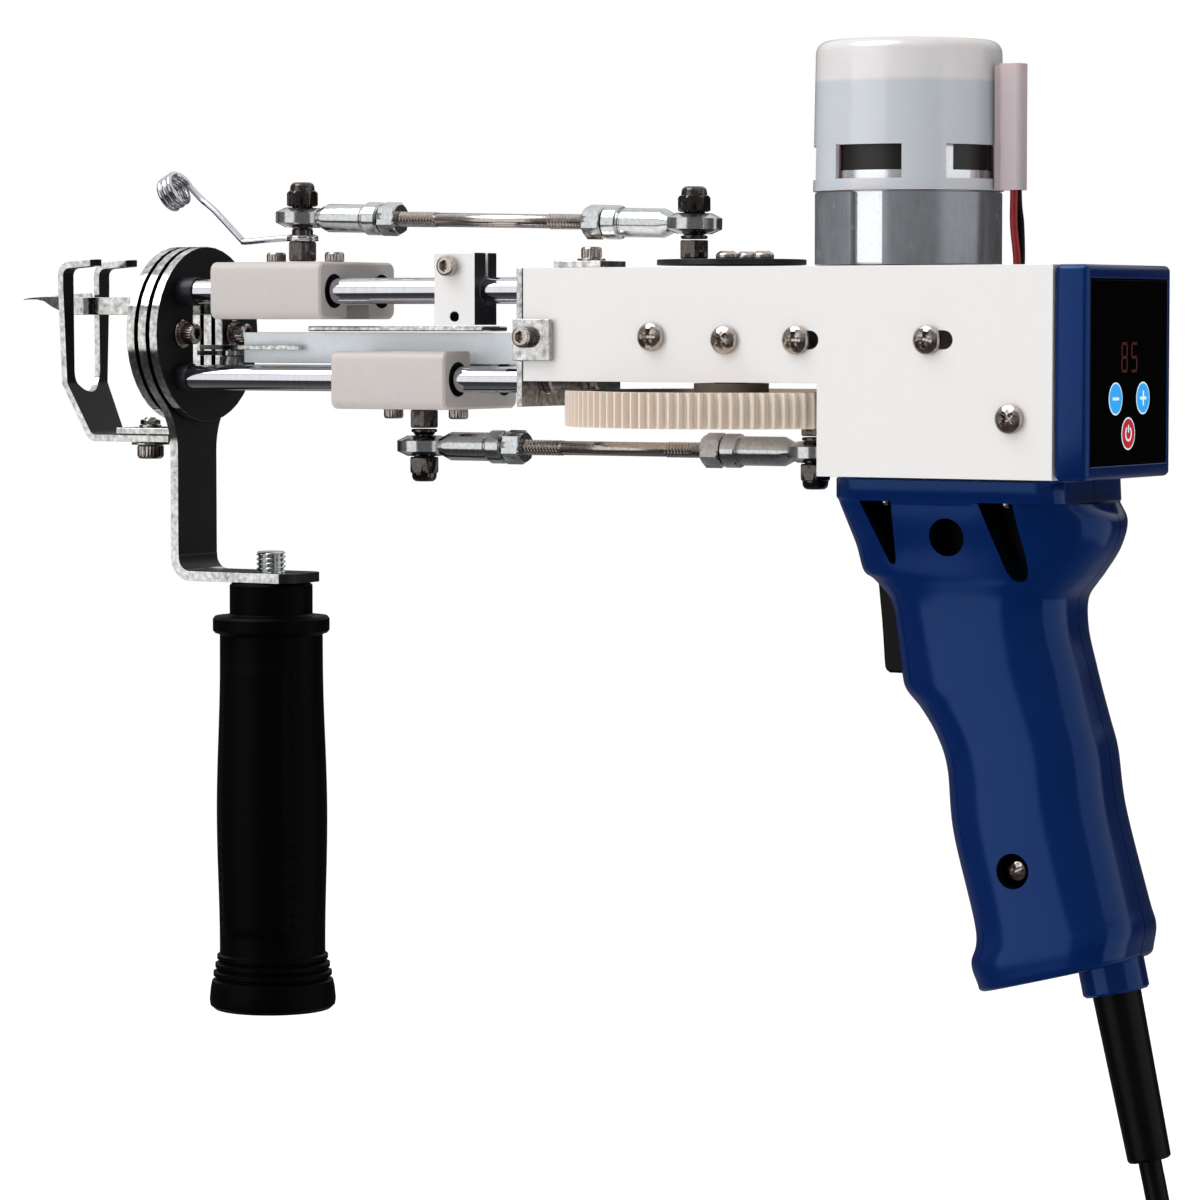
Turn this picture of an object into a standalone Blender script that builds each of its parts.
"""Handheld tufting machine, as an assembly of separate pieces.

Machine frame: the crank axis is at X = 0, Y = 0 and the housing's top is at Z = 0. +X points to
the control head, -X to the needle, +Z up. The whole machine hangs on the empty machine_frame,
which puts the world's origin in the rear grip, where the hand holds it. Lengths are in metres.
"""
import math

import bmesh
import bpy
import numpy as np
from mathutils import Matrix, Vector

# Fits and shared values; the hand's height is measured from the rear grip's top
GAP = 0.0003
OVERRUN = 0.003
WALL = 0.002
THIN_WALL = 0.0012
EDGE = 0.0006
HAND_X = 0.078
HAND_Z = -0.065

# Gear housing and end plate
HOUSING_WIDTH = 0.048
HOUSING_FRONT = -0.0451
HOUSING_REAR = 0.0973
DEEP_FRONT = 0.0362
NARROW_HEIGHT = 0.0277
DEEP_HEIGHT = 0.0497
BEARING_WEB_HEIGHT = 0.0065
BEARING_WEB_HALF = 0.016
BEARING_RADIUS = 0.0095
BEARING_HEIGHT = 0.005
BOSS_WALL = 0.0022
PLATE = 0.0016
END_PLATE_HEIGHT = 0.034
SIDE_TAB_LENGTH = 0.0105
SIDE_TAB_TOP = -0.0125
SIDE_TAB_BOTTOM = -0.0227
TOP_TAB_LENGTH = 0.0135
TOP_TAB_HALF = 0.0062

# Gear train and cranks
MODULE = 0.0008
GEAR_TEETH = 100
PINION_TEETH = 20
PRESSURE_ANGLE = math.radians(20)
ROOT_SHARE = 1.25
BACKLASH = 0.00022
CENTRE_SLACK = 0.0002
GEAR_TOP = -0.0300
GEAR_THICKNESS = 0.0086
GEAR_RECESS = 0.0015
GEAR_RIM = 0.0045
GEAR_HUB_RADIUS = 0.0092
GEAR_HUB_HEIGHT = 0.0018
SHAFT_RADIUS = 0.004
PINION_SHAFT_RADIUS = 0.0025
PINION_SHAFT_TOP = -0.001
CRANK_DISC_RADIUS = 0.0183
CRANK_DISC_BOTTOM = 0.0006
CRANK_DISC_THICKNESS = 0.0014
UPPER_CRANK = 0.0105
LOWER_CRANK = 0.0233

# Guide rods and carriages
ROD_RADIUS = 0.00325
ROD_SIDE = 0.011
UPPER_ROD_Z = -0.00535
LOWER_ROD_Z = -0.0276
ROD_REAR = -0.0432
CARRIAGE_LENGTH = 0.0343
CARRIAGE_HEIGHT = 0.0146
CARRIAGE_HALF = 0.0175
CARRIAGE_EDGE = 0.0022
CHANNEL_HALF = 0.0052
UPPER_CHANNEL_DEPTH = 0.0036
LOWER_CHANNEL_DEPTH = 0.0042
UPPER_CARRIAGE_TOP = 0.0021
LOWER_CARRIAGE_TOP = -0.0206
UPPER_FRONT_PIVOT_X = -0.1265
UPPER_FRONT_PIVOT_Z = 0.01365
UPPER_REAR_PIVOT_Z = 0.0109
LOWER_PIVOT_Z = -0.0447
LOWER_FRONT_PIVOT_X = -0.0893

# Connecting rods
HEAD_RADIUS = 0.0057
HEAD_HEIGHT = 0.0051
PIN_RADIUS = 0.0019
BODY_RADIUS = 0.0036
BODY_START = 0.0048
BODY_END = 0.0178
COLLAR_RADIUS = 0.0042
COLLAR_END = 0.0222
SOCKET_DEPTH = 0.012
LINK_RADIUS = 0.00165
THREAD_RADIUS = 0.002
THREAD_LENGTH = 0.0095
JAM_NUT_RADIUS = 0.0044
JAM_NUT_LENGTH = 0.0052
NYLOC_RADIUS = 0.0040
NYLOC_HEIGHT = 0.0050
NYLOC_DOME = 0.0012
STANDOFF_RADIUS = 0.0039
STANDOFF_HEIGHT = 0.0051
UPPER_CRANK_STANDOFF = 0.0045
LOWER_CRANK_STANDOFF = 0.0019
CUTTER_STANDOFF_HEIGHT = 0.0046
BUSH_RADIUS = 0.0031

# Front plates
DISC_RADIUS = 0.0228
DISC_Z = -0.0164
DISC_REAR = -0.1565
DISC_THICKNESS = 0.0024
DISC_SPACING = 0.0012
MOUTH_HALF = 0.0066
MOUTH_TOP = -0.0030
MOUTH_BOTTOM = -0.0282
ARM_HALF = 0.0087
ARM_FILLET = 0.017
TAB_Z = -0.0782
TAB_THICKNESS = 0.0025
TAB_REAR = -0.1255
BEND_RADIUS = 0.006

# Front grip
GRIP_X = -0.1368
STUD_RADIUS = 0.0039
STUD_TOP = -0.0728
STUD_BOTTOM = -0.104
GRIP_NECK_RADIUS = 0.0108
GRIP_NECK_HEIGHT = 0.0085
GRIP_FLANGE_RADIUS = 0.0152
GRIP_FLANGE_HEIGHT = 0.0046
GRIP_BODY_RADIUS = 0.0134
GRIP_MIDDLE_RADIUS = 0.0142
GRIP_FOOT_RADIUS = 0.0165
GRIP_LENGTH = 0.1118
GRIP_RING_DEPTH = 0.0006
GRIP_RING_HEIGHT = 0.0011

# Guide bar, cam plate and rod clamp
BAR_FRONT = -0.144
BAR_TOP = -0.0159
BAR_HEIGHT = 0.0079
BAR_HALF = 0.0015
CAM_FRONT = -0.121
CAM_REAR = -0.068
CAM_HALF = 0.006
CAM_THICKNESS = 0.0013
CLAMP_FRONT = -0.0755
CLAMP_LENGTH = 0.0119
CLAMP_TOP = 0.004
CLAMP_NEAR = -0.0168
CLAMP_DEPTH = 0.0104
CLAMP_SLIT = 0.0010
CLAMP_HOLE_RADIUS = 0.0013
CLAMP_HOLE_Z = -0.0119

# Needle, scissors and yarn guide
NEEDLE_Z = -0.0089
NEEDLE_HALF = 0.0025
NEEDLE_HEIGHT = 0.0040
NEEDLE_TIP_X = -0.2174
NEEDLE_SHOULDER_X = -0.2045
NEEDLE_BLADE_HEIGHT = 0.0012
NEEDLE_BLADE_FRONT = -0.206
NEEDLE_BLADE_REAR = -0.188
NEEDLE_SLOT_HALF = 0.0013
NEEDLE_SLOT_DEPTH = 0.0026
NEEDLE_POINT = 0.0003
SCISSOR_PIVOT_X = -0.149
SCISSOR_TAIL = 0.024
SCISSOR_BLADE = 0.0105
SCISSOR_INNER = 0.0019
SCISSOR_OUTER = 0.0042
SCISSOR_THICKNESS = 0.0012
SCISSOR_TOP = -0.0192
SCISSOR_EYE = 0.0031
SCISSOR_PIN_RADIUS = 0.0013
SCISSOR_TIP = 0.0004
HOLDER_HALF = 0.0034
HOLDER_TOP = -0.0243
HOLDER_THICKNESS = 0.002
HOLDER_NOSE = 0.004
WIRE_RADIUS = 0.0007
GUIDE_RING_RADIUS = 0.0033
GUIDE_RING_Z = 0.0085
GUIDE_RING_START = math.radians(150)
GUIDE_RING_SWEEP = math.radians(290)
GUIDE_RING_POINTS = 16
GUIDE_COIL_RADIUS = 0.0043
GUIDE_COIL_PITCH = 0.0022
GUIDE_COIL_TURNS = 2.75
GUIDE_LOOP_POINTS = 12
# Route of the guide wire from its ring to its coil
GUIDE_ROUTE = (
    (-0.1328, -0.0016, 0.0085), (-0.1395, -0.0012, 0.0082), (-0.1440, -0.0008, 0.0084),
    (-0.1478, 0.0000, 0.0106), (-0.1520, 0.0006, 0.0144), (-0.1562, 0.0010, 0.0180),
)

# Presser foot and its bracket
FOOT_X = -0.197
FOOT_HALF = 0.0113
FOOT_SLOT_HALF = 0.0057
FOOT_THICKNESS = 0.0016
FOOT_TOP = 0.0027
FOOT_HOOK = 0.0115
FOOT_SLOT_BOTTOM = -0.033
FOOT_KNEE_Z = -0.030
FOOT_LEG_Z = -0.0442
FOOT_LEG_X = -0.184
FOOT_REAR = -0.1684
FOOT_ADJUST_HALF = 0.0022
BRACKET_FRONT = -0.1815
BRACKET_HALF = 0.0085
BRACKET_PIN_RADIUS = 0.0015
BRACKET_BOLT_X = -0.1722
BRACKET_HEAD_RADIUS = 0.0031
BRACKET_HEAD_HEIGHT = 0.0042
BRACKET_LIP_DROP = 0.0036

# Motor
CAN_RADIUS = 0.021
CAN_TOP = 0.0500
CAN_BOSS_RADIUS = 0.0075
CAN_BOSS_HEIGHT = 0.0017
FLUX_RADIUS = 0.02235
FLUX_HEIGHT = 0.0172
FLUX_SLIT_HALF = math.radians(10.7)
CAP_RADIUS = 0.0232
CAP_TOP = 0.0548
CAP_BOTTOM = 0.0178
CAP_EDGE = 0.003
VENT_BOTTOM = 0.0211
VENT_HEIGHT = 0.0082
VENT_HALF = math.radians(22.5)
VENT_COUNT = 5
DUCT_DEPTH = 0.0077
DUCT_HALF = 0.0036
DUCT_WALL = 0.001
DUCT_HEIGHT = 0.0311
LEAD_RADIUS = 0.00105
LEAD_SIDE = 0.0013
LEAD_SETBACK = 0.0027
LEAD_BOTTOM = -0.009
LEAD_TOP = 0.044
LEAD_BOW = 0.0006

# Control head
HEAD_REAR = 0.1060
HEAD_WALL = 0.0026
GLASS_HALF = 0.0213
GLASS_THICKNESS = 0.001
GLASS_RECESS = 0.0013
HEAD_FACE_WALL = 0.0012
RIM_BEVEL = 0.0012
BOARD_THICKNESS = 0.0016
BOARD_X = 0.0992

# The hand's pieces hang from the housing's bottom: the heights of the rear grip, trigger and cord
# are measured from the grip's top
GRIP_TOP_Z = -DEEP_HEIGHT - GAP

# Rear grip: height, front, back and half width of each section, then its roundness and its slope
GRIP_WALL = 0.0026
GRIP_RING_SIDES = 28
GRIP_SECTIONS = (
    (0.0000, 0.0372, 0.1012, 0.0210),
    (-0.0045, 0.0372, 0.1016, 0.0210),
    (-0.0056, 0.0388, 0.1030, 0.0194),
    (-0.0115, 0.0398, 0.1036, 0.0186),
    (-0.0180, 0.0408, 0.0990, 0.0178),
    (-0.0240, 0.0428, 0.0952, 0.0172),
    (-0.0300, 0.0458, 0.0937, 0.0168),
    (-0.0370, 0.0480, 0.0943, 0.0166),
    (-0.0470, 0.0492, 0.0963, 0.0166),
    (-0.0530, 0.0524, 0.0975, 0.0166),
    (-0.0630, 0.0590, 0.0997, 0.0166),
    (-0.0810, 0.0637, 0.1035, 0.0168),
    (-0.1030, 0.0700, 0.1092, 0.0174),
    (-0.1100, 0.0692, 0.1108, 0.0178),
    (-0.1155, 0.0712, 0.1100, 0.0174),
)
GRIP_ROUND_SHARES = (7.0, 7.0, 4.5, 3.6, 3.2, 3.0, 2.8, 2.7, 2.6, 2.6, 2.6, 2.6, 2.7, 2.9, 3.0)
GRIP_SLOPE_SHARES = (0.0, 0.0, 0.0, 0.0, 0.0, 0.0, 0.02, 0.05, 0.08, 0.1, 0.13, 0.17, 0.22, 0.25, 0.26)
NECK_SECTION = 5
WAIST_SECTION = 8
RECESS_RADIUS = 0.0044
RECESS_UPPER_X = 0.0620
RECESS_UPPER_Z = -0.0155
RECESS_LOWER_X = 0.0845
RECESS_LOWER_Z = -0.0915
POCKET_TOP_Z = -0.0080
POCKET_BOTTOM_Z = -0.0260
POCKET_FRONT_X = 0.0405
POCKET_REAR_X = 0.0735
POCKET_WIDTH = 0.0120
POCKET_FOOT_WIDTH = 0.0022
COLLAR_OUTER = 0.0079
CORD_TOP_X = 0.1010
CORD_TOP_Z = -0.1085
CORD_TILT = math.radians(12.6)
GRIP_COLLAR_LENGTH = 0.0125
SLEEVE_RADIUS = 0.0058
SLEEVE_END_RADIUS = 0.0052
SLEEVE_LENGTH = 0.0525
SLEEVE_BORE_DEPTH = 0.006

# Trigger and switch
TRIGGER_FRONT = 0.0410
TRIGGER_REAR = 0.0560
TRIGGER_TOP = -0.0258
TRIGGER_BOTTOM = -0.0472
TRIGGER_HALF = 0.0058
TRIGGER_HOLLOW = 0.0022
TRIGGER_TRAVEL = 0.005
TRIGGER_POINTS = 7
SWITCH_LENGTH = 0.018
SWITCH_HALF = 0.0122

# Mains cord, its coil and its plug
CORD_RADIUS = 0.00275
COIL_STEP = 0.0068
COIL_INNER = 0.0165
COIL_TURNS = 4
COIL_LOOP_POINTS = 24
COIL_X = 0.0950
COIL_Y = 0.0050
COIL_Z = -0.2350
PLUG_LENGTH = 0.034
PLUG_HALF_WIDTH = 0.0125
PLUG_HALF_HEIGHT = 0.0068
PLUG_NECK = 0.0048
PLUG_PIN_RADIUS = 0.0020
PLUG_PIN_LENGTH = 0.019
PLUG_PIN_SPACING = 0.0095
PLUG_SHOULDER_SHARE = 0.72
PLUG_FACE_SHARE = 0.95
# Route of the cord under the sleeve, down to where the coil begins
CORD_ROUTE = (
    (0.1126, 0.0, -0.1605), (0.1142, 0.0, -0.1675), (0.1172, -0.0015, -0.1790),
    (0.1215, -0.0060, -0.1930), (0.1245, -0.0140, -0.2070), (0.1235, -0.0250, -0.2200),
    (0.1175, -0.0340, -0.2290),
)

FINISH = {
    "silver": ((0.80, 0.80, 0.80), 0.32, 0.9), "chrome": ((0.75, 0.75, 0.76), 0.12, 1.0),
    "steel": ((0.45, 0.45, 0.46), 0.30, 1.0), "dark_steel": ((0.09, 0.09, 0.10), 0.40, 0.8),
    "zinc": ((0.72, 0.77, 0.80), 0.38, 0.8), "nylon": ((0.78, 0.74, 0.69), 0.55, 0.0),
    "grey": ((0.28, 0.29, 0.30), 0.45, 0.4), "frosted": ((0.80, 0.80, 0.80), 0.50, 0.0),
    "pink": ((0.80, 0.70, 0.68), 0.50, 0.0), "blue": ((0.01, 0.05, 0.20), 0.35, 0.0),
    "black": ((0.01, 0.01, 0.01), 0.55, 0.0), "glass": ((0.004, 0.004, 0.006), 0.08, 0.0),
    "green": ((0.02, 0.15, 0.06), 0.50, 0.0), "red": ((0.45, 0.01, 0.01), 0.45, 0.0),
}

for old in list(bpy.data.objects):
    bpy.data.objects.remove(old, do_unlink=True)

machine = bpy.data.objects.new("machine_frame", None)
bpy.context.collection.objects.link(machine)
machine.location = (-HAND_X, 0, -GRIP_TOP_Z - HAND_Z)


def colour(item, kind):
    """Gives the object its own Principled material of a kind in FINISH."""
    shade, roughness, metallic = FINISH[kind]
    material = bpy.data.materials.new(item.name + "_" + kind)
    material.use_nodes = True
    shader = material.node_tree.nodes["Principled BSDF"]
    shader.inputs["Base Color"].default_value = (*shade, 1)
    shader.inputs["Roughness"].default_value = roughness
    shader.inputs["Metallic"].default_value = metallic
    item.data.materials.append(material)


def place(name, bm, kind, origin=(0, 0, 0), turn=None):
    """Makes a named object of a mesh built in the machine frame, with its origin at origin."""
    bmesh.ops.recalc_face_normals(bm, faces=bm.faces)
    mesh = bpy.data.meshes.new(name)
    bm.to_mesh(mesh)
    bm.free()
    if turn is None:
        mesh.transform(Matrix.Translation(-Vector(origin)))
    mesh.shade_smooth()
    mesh.set_sharp_from_angle(angle=math.radians(34))
    item = bpy.data.objects.new(name, mesh)
    bpy.context.collection.objects.link(item)
    item.parent = machine
    item.location = origin
    if turn is not None:
        item.rotation_euler = turn
    if kind:
        colour(item, kind)
    return item


def operand(item, bm, operation, local=False):
    """Cuts or joins a hidden mesh, built in the machine frame, with the item."""
    tool = place(f"{item.name}_{operation.lower()}_{len(item.modifiers)}", bm, None)
    if local:
        tool.location = item.location
        tool.rotation_euler = item.rotation_euler
    tool.hide_render = True
    tool.display_type = "WIRE"
    step = item.modifiers.new(operation, "BOOLEAN")
    step.operation = operation
    step.solver = "EXACT"
    step.object = tool


def cut(item, bm, local=False):
    operand(item, bm, "DIFFERENCE", local)


def fuse(item, bm, local=False):
    operand(item, bm, "UNION", local)


def soften(item, width=EDGE, segments=2):
    """Rounds the edges of a box-like piece."""
    bevel = item.modifiers.new("edge", "BEVEL")
    bevel.width = width
    bevel.segments = segments
    bevel.limit_method = "ANGLE"
    bevel.angle_limit = math.radians(40)


def block(x, y, z):
    """A box between pairs of limits."""
    bm = bmesh.new()
    corners = [bm.verts.new((a, b, c)) for a in x for b in y for c in z]
    for face in ((0, 1, 3, 2), (4, 6, 7, 5), (0, 4, 5, 1), (2, 3, 7, 6), (0, 2, 6, 4), (1, 5, 7, 3)):
        bm.faces.new([corners[i] for i in face])
    return bm


def prism(outline, axis, low, high):
    """An outline in the two other axes, in their alphabetical order, drawn out along an axis."""
    bm = bmesh.new()
    slot = "xyz".index(axis)

    def ring(level):
        points = []
        for pair in outline:
            point = list(pair)
            point.insert(slot, level)
            points.append(bm.verts.new(point))
        return points

    lower, upper = ring(low), ring(high)
    bm.faces.new(lower)
    bm.faces.new(upper)
    for i in range(len(outline)):
        j = (i + 1) % len(outline)
        bm.faces.new((lower[i], lower[j], upper[j], upper[i]))
    return bm


def turned(profile, axis="z", at=(0, 0, 0), sides=20, hollow=False, start=0.0, sweep=None):
    """Revolves a profile of (radius, height) pairs about an axis through a point.

    A hollow profile is a closed loop off the axis. A sweep makes a part turn with flat ends.
    """
    bm = bmesh.new()
    a, b, c = {"z": (0, 1, 2), "x": (1, 2, 0), "y": (2, 0, 1)}[axis]
    full = sweep is None
    angles = [start + (math.tau if full else sweep) * i / sides for i in range(sides + (not full))]
    rings = []
    for radius, height in profile:
        ring = []
        for angle in angles if radius > 0 else angles[:1]:
            point = list(at)
            point[a] += radius * math.cos(angle)
            point[b] += radius * math.sin(angle)
            point[c] += height
            ring.append(bm.verts.new(point))
        rings.append(ring)
    pairs = list(zip(rings, rings[1:] + rings[:1])) if hollow else list(zip(rings, rings[1:]))
    for low, high in pairs:
        steps = len(angles) if full else len(angles) - 1
        for i in range(steps):
            j = (i + 1) % len(angles)
            if len(low) == 1 and len(high) == 1:
                continue
            if len(low) == 1:
                bm.faces.new((low[0], high[j], high[i]))
            elif len(high) == 1:
                bm.faces.new((low[i], low[j], high[0]))
            else:
                bm.faces.new((low[i], low[j], high[j], high[i]))
    if not full:
        bm.faces.new([ring[0] for ring in rings])
        bm.faces.new([ring[-1] for ring in reversed(rings)])
    elif not hollow:
        for end in (rings[0], rings[-1]):
            if len(end) > 1:
                bm.faces.new(end)
    return bm


def rod(radius, low, high, axis="z", at=(0, 0, 0), sides=14, start=0.0):
    """A plain round or hexagonal bar between two levels on an axis."""
    return turned(((radius, low), (radius, high)), axis, at, sides, start=start)


def ring_of(inner, outer, low, high, axis="z", at=(0, 0, 0), sides=24):
    """A plain ring with a bore."""
    return turned(((inner, low), (outer, low), (outer, high), (inner, high)), axis, at, sides, True)


def wire(name, points, radius, kind, resolution):
    """A tube along points, with closed ends."""
    curve = bpy.data.curves.new(name, "CURVE")
    curve.dimensions = "3D"
    spline = curve.splines.new("POLY")
    spline.points.add(len(points) - 1)
    for slot, point in zip(spline.points, points):
        slot.co = (*point, 1)
    curve.bevel_depth = radius
    curve.bevel_resolution = resolution
    curve.use_fill_caps = True
    item = bpy.data.objects.new(name, curve)
    bpy.context.collection.objects.link(item)
    item.parent = machine
    colour(item, kind)
    return item


def smooth_route(route, count):
    """Reads count evenly spaced points from a Catmull-Rom curve through a route's points."""
    knots = np.array(route)
    knots = np.vstack([2 * knots[0] - knots[1], knots, 2 * knots[-1] - knots[-2]])
    fine = []
    for i in range(1, len(knots) - 2):
        before, here, after, later = knots[i - 1:i + 3]
        t = np.linspace(0, 1, 40, endpoint=i == len(knots) - 3)[:, None]
        fine.append(0.5 * (2 * here + (after - before) * t
                           + (2 * before - 5 * here + 4 * after - later) * t ** 2
                           + (3 * here - before - 3 * after + later) * t ** 3))
    fine = np.vstack(fine)
    along = np.concatenate([[0], np.cumsum(np.linalg.norm(np.diff(fine, axis=0), axis=1))])
    at = np.linspace(0, along[-1], count)
    return np.stack([np.interp(at, along, fine[:, k]) for k in range(3)], axis=1)


def arc(centre, radius, start, end, count):
    """Points on an arc in a plane, with its angles in radians."""
    return [(centre[0] + radius * math.cos(start + (end - start) * i / count),
             centre[1] + radius * math.sin(start + (end - start) * i / count))
            for i in range(count + 1)]


def gear_outline(teeth, slack, turn):
    """Outline of a spur gear with involute flanks, its teeth thinned by a slack."""
    pitch = MODULE * teeth / 2
    base = pitch * math.cos(PRESSURE_ANGLE)
    tip = pitch + MODULE
    root = pitch - ROOT_SHARE * MODULE
    inv = math.tan(PRESSURE_ANGLE) - PRESSURE_ANGLE
    half = math.pi / (2 * teeth) - slack / (2 * pitch)

    def flank(radius):
        if radius <= base:
            return half + inv
        spread = math.acos(base / radius)
        return half + inv - (math.tan(spread) - spread)

    outline = []
    for i in range(teeth):
        middle = turn + math.tau * i / teeth
        levels = (root, pitch, tip) if teeth < GEAR_TEETH else (root, tip)
        for side, order in ((-1, levels), (1, levels[::-1])):
            for radius in order:
                angle = middle + side * flank(radius)
                outline.append((radius * math.cos(angle), radius * math.sin(angle)))
    return outline


def shifted(outline, dx, dy):
    return [(a + dx, b + dy) for a, b in outline]


SIDE = HOUSING_WIDTH / 2
GEAR_BOTTOM = GEAR_TOP - GEAR_THICKNESS
PITCH_RADIUS = MODULE * GEAR_TEETH / 2
TIP_RADIUS = PITCH_RADIUS + MODULE
MOTOR_X = MODULE * (GEAR_TEETH + PINION_TEETH) / 2 + CENTRE_SLACK
UPPER_REAR_PIVOT_X = -UPPER_CRANK
LOWER_REAR_PIVOT_X = LOWER_CRANK
DISC_FRONT = DISC_REAR - DISC_THICKNESS
BRACKET_REAR = DISC_FRONT - DISC_SPACING
PLATE_FRONT = BRACKET_REAR - DISC_THICKNESS
FACE_REAR = PLATE_FRONT - DISC_SPACING
FACE_FRONT = FACE_REAR - DISC_THICKNESS
ROD_FRONT = FACE_FRONT + GAP
END_REAR = HOUSING_FRONT - GAP
END_FRONT = END_REAR - PLATE
ROD_HOLE = ROD_RADIUS + GAP
SPOTS = [(side, level) for level in (UPPER_ROD_Z, LOWER_ROD_Z) for side in (-ROD_SIDE, ROD_SIDE)]


def make_housing():
    """Bent sheet box: narrow over the big gear, deep behind it, open under the narrow part."""
    side = ((HOUSING_FRONT, 0), (HOUSING_REAR, 0), (HOUSING_REAR, -DEEP_HEIGHT),
            (DEEP_FRONT, -DEEP_HEIGHT), (DEEP_FRONT, -NARROW_HEIGHT), (HOUSING_FRONT, -NARROW_HEIGHT))
    housing = place("gear_housing", prism(side, "y", -SIDE, SIDE), "silver")
    inside = SIDE - WALL
    low, web_top = -NARROW_HEIGHT, -NARROW_HEIGHT + BEARING_WEB_HEIGHT
    web_front, web_rear = -BEARING_WEB_HALF, BEARING_WEB_HALF
    cut(housing, block((HOUSING_FRONT - OVERRUN, web_front), (-inside, inside), (low - OVERRUN, -WALL)))
    hollow = ((web_front, -WALL), (HOUSING_REAR + OVERRUN, -WALL),
              (HOUSING_REAR + OVERRUN, -DEEP_HEIGHT + WALL), (DEEP_FRONT + WALL, -DEEP_HEIGHT + WALL),
              (DEEP_FRONT + WALL, low - OVERRUN), (web_rear, low - OVERRUN), (web_rear, web_top),
              (web_front, web_top))
    cut(housing, prism(hollow, "y", -inside, inside))
    boss = ring_of(BEARING_RADIUS + GAP, BEARING_RADIUS + BOSS_WALL, -BEARING_HEIGHT - WALL, -WALL / 2)
    fuse(housing, boss)
    cut(housing, rod(SHAFT_RADIUS + 2 * GAP, low - OVERRUN, OVERRUN))
    cut(housing, rod(BEARING_RADIUS + GAP, low - OVERRUN, low + BEARING_HEIGHT, sides=24))
    slot = (GEAR_BOTTOM - 2 * GAP, GEAR_TOP + 2 * GAP)
    reach = math.sqrt((TIP_RADIUS + GAP) ** 2 - DEEP_FRONT ** 2)
    cut(housing, block((DEEP_FRONT - OVERRUN, DEEP_FRONT + WALL + OVERRUN), (-reach, reach), slot))
    cut(housing, rod(CAN_BOSS_RADIUS + GAP, -WALL - OVERRUN, OVERRUN, at=(MOTOR_X, 0, 0), sides=24))
    lead_x = MOTOR_X + CAP_RADIUS + GAP + DUCT_DEPTH - LEAD_SETBACK
    gland = 2 * LEAD_SIDE
    cut(housing, block((lead_x - gland, lead_x + gland), (-gland, gland), (-WALL - OVERRUN, OVERRUN)))
    for name, level in (("upper_bearing", -BEARING_HEIGHT - WALL), ("lower_bearing", low)):
        bore = SHAFT_RADIUS + GAP
        ring = ring_of(bore, BEARING_RADIUS, level + GAP, level + BEARING_HEIGHT - GAP, sides=24)
        place(name, ring, "steel")


def make_end_plate():
    """Folded plate that closes the housing's front and carries the guide rods' rear ends."""
    thick = (END_FRONT, END_REAR)
    plate = place("end_plate", block(thick, (-SIDE, SIDE), (-END_PLATE_HEIGHT, 0)), "chrome")
    near = -SIDE - GAP
    levels = (SIDE_TAB_BOTTOM, SIDE_TAB_TOP)
    fuse(plate, block((END_FRONT, END_FRONT + SIDE_TAB_LENGTH), (near - PLATE, near), levels))
    fuse(plate, block(thick, (near - PLATE, -SIDE + PLATE), levels))
    across = (-TOP_TAB_HALF, TOP_TAB_HALF)
    fuse(plate, block(thick, across, (-PLATE, GAP + PLATE)))
    fuse(plate, block((END_FRONT, END_FRONT + TOP_TAB_LENGTH), across, (GAP, GAP + PLATE)))
    for side, level in SPOTS:
        cut(plate, rod(ROD_HOLE, END_FRONT - OVERRUN, END_REAR + OVERRUN, "x", (0, side, level)))


def make_gears():
    """The crank: big nylon gear, its shaft, the crank disc and the two crank standoffs."""
    teeth = gear_outline(GEAR_TEETH, BACKLASH, 0)
    gear = place("drive_gear", prism(teeth, "z", GEAR_BOTTOM, GEAR_TOP), "nylon")
    rim = PITCH_RADIUS - GEAR_RIM
    recess = ring_of(GEAR_HUB_RADIUS, rim, GEAR_TOP - GEAR_RECESS, GEAR_TOP + OVERRUN, sides=40)
    cut(gear, recess)
    fuse(gear, rod(GEAR_HUB_RADIUS, GEAR_TOP - GEAR_RECESS, GEAR_TOP + GEAR_HUB_HEIGHT, sides=24))
    cut(gear, rod(SHAFT_RADIUS + GAP, GEAR_BOTTOM + WALL, GEAR_TOP + OVERRUN))
    place("crank_shaft", rod(SHAFT_RADIUS, GEAR_BOTTOM + WALL + GAP, CRANK_DISC_BOTTOM - GAP), "steel")
    disc_top = CRANK_DISC_BOTTOM + CRANK_DISC_THICKNESS
    place("crank_disc", rod(CRANK_DISC_RADIUS, CRANK_DISC_BOTTOM, disc_top, sides=40), "dark_steel")
    upper = (UPPER_REAR_PIVOT_X, 0, 0)
    bottom = disc_top + GAP
    spacer = rod(STANDOFF_RADIUS, bottom, bottom + UPPER_CRANK_STANDOFF, at=upper, sides=6)
    place("upper_crank_standoff", spacer, "steel")
    lower = (LOWER_REAR_PIVOT_X, 0, 0)
    top = GEAR_BOTTOM - GAP
    spacer = rod(STANDOFF_RADIUS, top - LOWER_CRANK_STANDOFF, top, at=lower, sides=6)
    place("lower_crank_standoff", spacer, "steel")
    half_tooth = math.pi / PINION_TEETH
    teeth = shifted(gear_outline(PINION_TEETH, BACKLASH, half_tooth), MOTOR_X, 0)
    pinion = place("motor_pinion", prism(teeth, "z", GEAR_BOTTOM, GEAR_TOP), "steel", (MOTOR_X, 0, 0))
    shaft_low = GEAR_TOP - GEAR_RECESS
    fuse(pinion, rod(PINION_SHAFT_RADIUS, shaft_low, PINION_SHAFT_TOP, at=(MOTOR_X, 0, 0)))


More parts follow.
